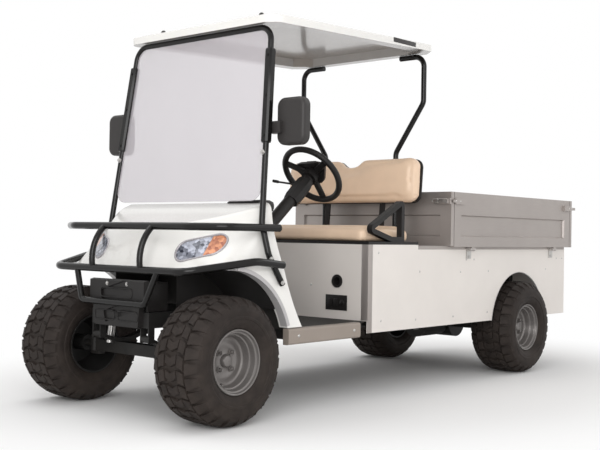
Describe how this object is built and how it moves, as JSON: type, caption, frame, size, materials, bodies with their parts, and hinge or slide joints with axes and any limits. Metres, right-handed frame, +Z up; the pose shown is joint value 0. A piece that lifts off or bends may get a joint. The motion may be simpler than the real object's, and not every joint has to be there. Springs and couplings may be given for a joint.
{
  "type": "electric utility cart",
  "caption": "Electric utility cart with a canopy, windscreen, bench seat, tube brush guard and an aluminium drop-side cargo bed; it steers, rolls and opens its gates.",
  "frame": {"origin": "on the ground, below the middle of the overall box", "axes": "+X forward, +Y to the driver's left, +Z up"},
  "size_m": [3.5196, 1.377, 1.9041],
  "materials": {
    "tyre": "matte",
    "rim": "satin",
    "axle": "matte",
    "spring_steel": "satin",
    "rod_steel": "satin",
    "frame": "satin",
    "battery": "matte",
    "floor": "matte",
    "sill": "satin",
    "cowl": "gloss",
    "lens": "clear",
    "dash": "matte",
    "moulding": "satin",
    "tube": "satin",
    "screen": "clear",
    "canopy": "gloss",
    "vinyl": "satin",
    "deck": "matte",
    "grip": "satin",
    "panel": "gloss",
    "tail_lens": "gloss",
    "bed": "satin",
    "hinge": "satin"
  },
  "bodies": {
    "chassis": {"front_axle": "axle", "rear_axle": "axle", "leaf_springs": "spring_steel", "frame_rails": "frame", "cross_members": "frame", "battery_pack": "battery", "floor_pan": "floor", "pedals": "floor", "sills": "sill", "seat_riser": "sill", "cowl": "cowl", "headlamps": "lens", "dash": "dash", "steering_column": "dash", "bumper_cover": "moulding", "wheel_liners": "moulding", "charge_socket": "moulding", "mirrors": "moulding", "seat_back_shell": "moulding", "front_hoop": "tube", "rear_struts": "tube", "brush_guard": "tube", "hip_restraints": "tube", "windscreen": "screen", "roof": "canopy", "seat_cushion": "vinyl", "seat_back": "vinyl", "seat_deck": "deck", "side_panels": "panel", "rear_panel": "panel", "tail_lamps": "tail_lens", "bed_floor": "bed", "front_board": "bed", "hinge_brackets": "hinge"},
    "knuckle_left": {"knuckle_left": "axle"},
    "knuckle_right": {"knuckle_right": "axle"},
    "tie_rod": {"tie_rod": "rod_steel"},
    "wheel_front_left": {"tyre_front_left": "tyre", "rim_front_left": "rim"},
    "wheel_front_right": {"tyre_front_right": "tyre", "rim_front_right": "rim"},
    "wheel_rear_left": {"tyre_rear_left": "tyre", "rim_rear_left": "rim"},
    "wheel_rear_right": {"tyre_rear_right": "tyre", "rim_rear_right": "rim"},
    "steering_wheel": {"steering_wheel": "grip"},
    "gate_left": {"gate_left": "bed"},
    "gate_right": {"gate_right": "bed"},
    "tailgate": {"tailgate": "bed"}
  },
  "joints": [
    {"name": "steer_left", "type": "hinge", "parent": "chassis", "child": "knuckle_left", "pos_m": [1.48025, 0.37, 0.2795], "axis": [0, 0, 1], "range_deg": [-30, 30]},
    {"name": "steer_right", "type": "hinge", "parent": "chassis", "child": "knuckle_right", "pos_m": [1.48025, -0.37, 0.2795], "axis": [0, 0, 1], "range_deg": [-30, 30]},
    {"name": "track_rod_pivot", "type": "hinge", "parent": "knuckle_left", "child": "tie_rod", "pos_m": [1.37025, 0.37, 0.2706], "axis": [0, 0, 1], "range_deg": [-30, 30]},
    {"name": "steering_wheel_turn", "type": "hinge", "parent": "chassis", "child": "steering_wheel", "pos_m": [0.63425, 0.28, 1.133], "axis": [-0.766, 0, 0.6428], "range_deg": [-271, 271]},
    {"name": "roll_front_left", "type": "hinge", "parent": "knuckle_left", "child": "wheel_front_left", "pos_m": [1.48025, 0.485, 0.2795], "axis": [0, 1, 0], "continuous": true},
    {"name": "roll_front_right", "type": "hinge", "parent": "knuckle_right", "child": "wheel_front_right", "pos_m": [1.48025, -0.485, 0.2795], "axis": [0, 1, 0], "continuous": true},
    {"name": "roll_rear_left", "type": "hinge", "parent": "chassis", "child": "wheel_rear_left", "pos_m": [-1.05975, 0.485, 0.2795], "axis": [0, 1, 0], "continuous": true},
    {"name": "roll_rear_right", "type": "hinge", "parent": "chassis", "child": "wheel_rear_right", "pos_m": [-1.05975, -0.485, 0.2795], "axis": [0, 1, 0], "continuous": true},
    {"name": "gate_left_drop", "type": "hinge", "parent": "chassis", "child": "gate_left", "pos_m": [-0.9642, 0.567, 0.757], "axis": [-1, 0, 0], "range_deg": [0, 150]},
    {"name": "gate_right_drop", "type": "hinge", "parent": "chassis", "child": "gate_right", "pos_m": [-0.9642, -0.567, 0.757], "axis": [1, 0, 0], "range_deg": [0, 150]},
    {"name": "tailgate_drop", "type": "hinge", "parent": "chassis", "child": "tailgate", "pos_m": [-1.70075, 0, 0.757], "axis": [0, -1, 0], "range_deg": [0, 150]}
  ],
  "couplings": [
    {"joint": "steer_right", "follows": "steer_left", "ratio": 1},
    {"joint": "track_rod_pivot", "follows": "steer_left", "ratio": -1},
    {"joint": "steering_wheel_turn", "follows": "steer_left", "ratio": 9}
  ]
}
